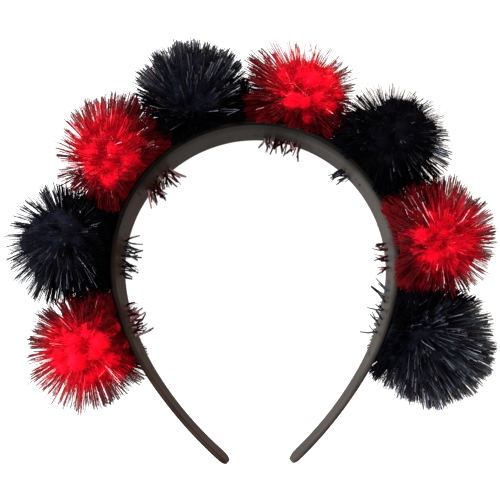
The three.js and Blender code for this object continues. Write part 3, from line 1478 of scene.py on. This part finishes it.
@dataclass
class Tuft:
    """A few strands of tinsel caught on the inner face behind a pompom."""

    path: BandPath
    number: int
    tone: Tone
    along: float
    row: float
    reach: float
    level: float
    lean: float
    strands: int
    burst: int
    clearance: float = 0.15 * MM
    burst_spot: Span = (0.2, 0.8)
    burst_lean: float = 0.25
    spot_spread: float = 0.02
    lean_spread: float = 0.28
    level_spread: float = 1.0 * MM
    climb: Span = (0.1, 0.35)
    reach_span: Span = (0.6, 1.1)
    bend: float = 0.05
    look_spread: float = 0.5
    width: Span = (0.5 * MM, 1.05 * MM)
    along_span: Span = (0.9, 0.97)
    lint_count: int = 5
    lint_row: float = 0.6
    lint_height: float = 7.0 * MM
    lint_run: float = 2.2 * MM
    lint_lift: float = 0.3 * MM
    lint_width: Span = (0.2 * MM, 0.45 * MM)
    lint_span: Span = (0.0, 0.05)
    tip_width: float = 0.7
    flatness: float = 0.3
    shade: Span = (0.0, 0.3)
    pale_share: float = 0.06
    pale_along: float = 0.82
    draw: np.random.Generator = field(init=False)

    def __post_init__(self) -> None:
        """Starts the tuft's own random source."""
        self.draw = np.random.default_rng(TUFT_SEED + self.number)

    @property
    def node(self) -> str:
        """Name of the solid that this tuft stands for."""
        return f"tuft_{self.number}_{self.tone.value}"

    def bristles(self) -> tuple[Array, Array]:
        """Draws the strands that stand out of the row.

        Returns:
            Lines, as strands by 3 stations by 3, and the way that each strand's flat side looks.
        """
        draw = self.draw
        lines = []
        bursts = ceil(self.strands / self.burst)
        spots = (np.arange(bursts) + draw.uniform(*self.burst_spot, bursts)) / bursts - 0.5
        leans = draw.normal(self.lean, self.burst_lean, bursts)
        for index in range(self.strands):
            spot = spots[index // self.burst] + draw.normal(0, self.spot_spread)
            lean = leans[index // self.burst] + draw.normal(0, self.lean_spread)
            point, normal, travel = self.path.place(self.along + self.row * spot)
            root = point - normal * self.clearance + RISE * (self.level + draw.normal(0, self.level_spread))
            way = unit(-normal + travel * lean + RISE * draw.normal(*self.climb))
            reach = self.reach * draw.uniform(*self.reach_span)
            bend = draw.normal(0, self.bend * reach, 3)
            lines.append([root, root + way * reach / 2 + bend, root + way * reach])
        return np.array(lines), RISE + draw.normal(0, self.look_spread, (self.strands, 3))

    def lint(self) -> tuple[Array, Array]:
        """Draws the loose strands that lie on the inner face around the row.

        Returns:
            Lines, as strands by 3 stations by 3, and the way that each strand's flat side looks.
        """
        draw = self.draw
        lines = []
        looks = []
        for _ in range(self.lint_count):
            start = self.along + self.row * draw.normal(0, self.lint_row)
            height = self.level + draw.uniform(0, self.lint_height)
            run = draw.normal(0, self.lint_run)
            climb = draw.normal(0, self.lint_run)
            stations = []
            for share in (0.0, 0.5, 1.0):
                point, normal, _ = self.path.place(start + run * share)
                lift = self.clearance + self.lint_lift * sin(pi * share)
                stations.append(point - normal * lift + RISE * (height + climb * share))
            lines.append(stations)
            looks.append(-normal)
        return np.array(lines), np.array(looks)

    def add_strips(
        self, bundle: StrandBundle, kind: Strand, strips: tuple[Array, Array], widths: Span, span: Span
    ) -> None:
        """Adds strips along lines.

        Args:
            bundle: the bundle that gets them.
            kind: kind of strand.
            strips: middle lines of the strips, and the way that each one's flat side looks.
            widths: least and greatest width.
            span: part of the finish's run from root to tip that the strips take.
        """
        lines, looks = strips
        count = len(lines)
        wide = self.draw.uniform(*widths, count)
        width = np.column_stack([wide, wide, self.tip_width * wide])
        across = unit(np.cross(lines[:, -1] - lines[:, 0], looks))
        shade = self.draw.uniform(*self.shade, count)
        along = np.tile(np.linspace(*span, 3), (count, 1))
        # painted highlight: a few pale strips are partly paler tinsel and partly painted glints
        pale = (self.draw.uniform(0, 1, count) < self.pale_share) & (self.tone is Tone.RED)
        shade[pale] = 1.0
        along[pale] *= self.pale_along
        bundle.add(kind, lines, across, width, self.flatness * width, shade, along)

    def build(self, materials: list[Material]) -> Piece:
        """Builds and dresses the tuft.

        Args:
            materials: fluff and tinsel materials of its tone.

        Returns:
            The tuft's object.
        """
        bundle = StrandBundle()
        self.add_strips(bundle, Strand.TINSEL, self.bristles(), self.width, self.along_span)
        self.add_strips(bundle, Strand.FLUFF, self.lint(), self.lint_width, self.lint_span)
        made = bundle.build(f"tinsel_tuft_{self.number}", materials)
        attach(made, BODY)
        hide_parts(self.node)
        return made


# The studio


@dataclass(frozen=True)
class SoftBox:
    """One area light, aimed at the middle of the headband; its place and size are in metres."""

    name: str
    place: tuple[float, float, float]
    size: float
    power: float
    colour: Colour = WHITE


@dataclass
class Studio:
    """Floor, lights and camera."""

    path: BandPath
    camera_offset: tuple[float, float, float] = (2.7 * MM, 1.1 * MM, 203.0 * MM)
    aim_offset: tuple[float, float, float] = (-1.7 * MM, 7.5 * MM, 0.0)
    roll: float = radians(-1.5)
    focal_px: float = 469.0
    frame_px: float = 500.0
    sensor_width: float = 36.0
    nearest: float = 5.0 * MM
    floor_half: float = 3.0
    world_strength: float = 0.4
    world_colour: Colour = (1.0, 0.9, 0.81)
    boxes: tuple[SoftBox, ...] = (
        SoftBox("overhead", (-0.1, 0.05, 0.9), 0.9, 13.0),
        SoftBox("key_left", (-0.92, 0.06, 0.4), 0.4, 56.0, (0.9, 0.96, 1.0)),
        SoftBox("warm_right", (0.9, -0.15, 0.3), 0.35, 10.0, (1.0, 0.56, 0.36)),
        SoftBox("warm_top", (0.25, 0.8, 0.38), 0.25, 7.0, (1.0, 0.84, 0.72)),
    )

    def make_floor(self) -> None:
        """Lays the floor at the height that the headband rests on."""
        corners = self.floor_half * np.array([[-1, -1, 0], [1, -1, 0], [1, 1, 0], [-1, 1, 0]])
        floor = mesh_object("floor", corners, np.array([[0, 1, 2, 3]]), [STUDIO_FLOOR.material()])

    def make_lights(self) -> None:
        """Hangs the soft boxes and sets the pale surroundings."""
        for box in self.boxes:
            data = bpy.data.lights.new(box.name, "AREA")
            data.energy = box.power
            data.size = box.size
            data.color = box.colour
            lamp = bpy.data.objects.new(box.name, data)
            lamp.location = box.place
            lamp.rotation_euler = (-Vector(box.place)).to_track_quat("-Z", "Y").to_euler()
            bpy.context.scene.collection.objects.link(lamp)
        world = bpy.data.worlds.new("studio")
        world.use_nodes = True
        background = world.node_tree.nodes["Background"]
        wire(world.node_tree, background, Color=(*self.world_colour, 1.0), Strength=self.world_strength)
        bpy.context.scene.world = world
        bpy.context.scene.view_settings.view_transform = "Standard"

    def make_camera(self) -> None:
        """Sets the camera above the headband, as the photograph sees it."""
        place = self.path.origin + Vector(self.camera_offset)
        aim = self.path.origin + Vector(self.aim_offset)
        ahead = (aim - place).normalized()
        right = ahead.cross(Vector((-sin(self.roll), cos(self.roll), 0.0))).normalized()
        up = right.cross(ahead)
        data = bpy.data.cameras.new("camera")
        data.sensor_width = self.sensor_width
        data.lens = self.sensor_width * self.focal_px / self.frame_px
        data.clip_start = self.nearest
        camera = bpy.data.objects.new("camera", data)
        turn = Matrix((right, up, -ahead)).transposed().to_4x4()
        camera.matrix_world = Matrix.Translation(place) @ turn
        bpy.context.scene.collection.objects.link(camera)
        bpy.context.scene.camera = camera

    def build(self) -> None:
        """Makes the camera, the floor and the lights."""
        self.make_camera()
        self.make_floor()
        self.make_lights()


# The whole headband


def pompom_row(path: BandPath) -> list[Pompom]:
    """Lists the pompoms from the lower left round the crown.

    Args:
        path: the band's path.

    Returns:
        The pompoms, with the planes that keep them apart.
    """
    # tone, then in millimetres: along, standoff, radius, overhang, band gloom
    places = [
        (Tone.RED, -118.5, 20.2, 25.0, 0.0, 4.5),
        (Tone.BLACK, -83.5, 22.4, 25.4, 0.0, 7.5),
        (Tone.RED, -49.5, 19.6, 25.4, 0.5, 5.0),
        (Tone.BLACK, -17.2, 21.0, 24.4, 2.5, 7.5),
        (Tone.RED, 16.0, 19.0, 24.4, 2.5, 6.5),
        (Tone.BLACK, 50.0, 21.4, 24.4, 4.0, 7.5),
        (Tone.RED, 83.6, 20.4, 24.8, 5.0, 6.5),
        (Tone.BLACK, 120.5, 20.4, 25.4, 1.0, 7.5),
    ]
    # reach, long side, shift, lobe, density, fluffy top, bare lean, thin turns, painted glint turn, glow
    looks = [
        (1.0, (0.05, -0.07), (0.0, 0.05), (0.1, 0.02), 1.3, 0.75, (0.45, 0.15), (200, 228), 315, 0.36),
        (0.98, (0.0, 0.0), (0.0, 0.22), (0.0, 0.0), 1.2, 0.5, (0.0, 0.0), (150, 175, 200), 300, 0.14),
        (0.97, (0.0, -0.06), (-0.14, -0.2), (0.1, -0.14), 1.15, 0.45, (-0.1, -0.3), (160, 184), 60, 0.18),
        (0.96, (-0.07, -0.1), (-0.08, -0.45), (0.0, 0.0), 1.25, 0.0, (0.0, 0.0), (), 330, 0.1),
        (0.93, (-0.04, 0.0), (0.05, -0.1), (0.1, -0.18), 1.0, 0.75, (0.25, 0.45), (70, 92), 265, 0.33),
        (0.94, (-0.02, -0.03), (-0.05, 0.15), (0.0, 0.0), 0.9, 0.5, (0.0, 0.0), (40, 70, 98), 0, -0.5),
        (0.96, (-0.09, -0.01), (0.0, -0.12), (-0.14, -0.08), 1.25, 0.5, (0.1, 0.0), (), 150, 0.2),
        (1.02, (-0.03, 0.04), (-0.2, 0.3), (0.0, 0.0), 2.8, 0.3, (0.0, 0.0), (), 280, 0.12),
    ]
    pompoms = []
    for number, ((tone, *lengths), look) in enumerate(zip(places, looks), start=1):
        pompoms.append(Pompom(path, number, tone, *(length * MM for length in lengths), *look))
    for index, pompom in enumerate(pompoms):
        pompom.find_limits(pompoms[max(index - 1, 0) : index] + pompoms[index + 1 : index + 2])
    return pompoms


def tuft_row(path: BandPath) -> list[Tuft]:
    """Lists the tufts on the inner face.

    Args:
        path: the band's path.

    Returns:
        The tufts, each numbered as the pompom that it lies behind.
    """
    # number, tone, in millimetres: along, row, reach, level, then lean, strands, strands in a burst
    rows = [
        (1, Tone.RED, -114.5, 17.0, 7.4, -1.0, 0.0, 32, 5),
        (2, Tone.BLACK, -86.0, 15.0, 8.2, -2.0, -0.35, 30, 3),
        (3, Tone.RED, -47.0, 15.0, 8.6, -4.0, -0.2, 48, 6),
        (5, Tone.RED, 14.5, 19.0, 7.0, -6.0, -0.1, 38, 5),
        (6, Tone.BLACK, 47.0, 8.0, 7.0, -5.0, -0.3, 16, 5),
        (7, Tone.RED, 88.0, 12.0, 5.4, -3.0, -0.1, 30, 6),
        (8, Tone.BLACK, 112.0, 22.0, 8.0, -1.0, -0.7, 14, 2),
    ]
    return [
        Tuft(path, number, tone, along * MM, row * MM, reach * MM, level * MM, *counts)
        for number, tone, along, row, reach, level, *counts in rows
    ]


def main() -> None:
    """Builds the studio and every piece in order."""
    logging.basicConfig(level=logging.INFO, format="%(name)s: %(message)s")
    path = BandPath()
    Studio(path).build()
    materials = {
        Tone.RED: [RED_FLUFF.material(), RED_TINSEL.material()],
        Tone.BLACK: [BLACK_FLUFF.material(), BLACK_TINSEL.material()],
    }
    pieces = [MouldedBand(path).build(BAND_PLASTIC)]
    for part in [*pompom_row(path), *tuft_row(path)]:
        pieces.append(part.build(materials[part.tone]))
    for piece in pieces:
        LOG.info("%s has %d faces", piece.name, len(piece.data.polygons))


if __name__ == "__main__":
    main()
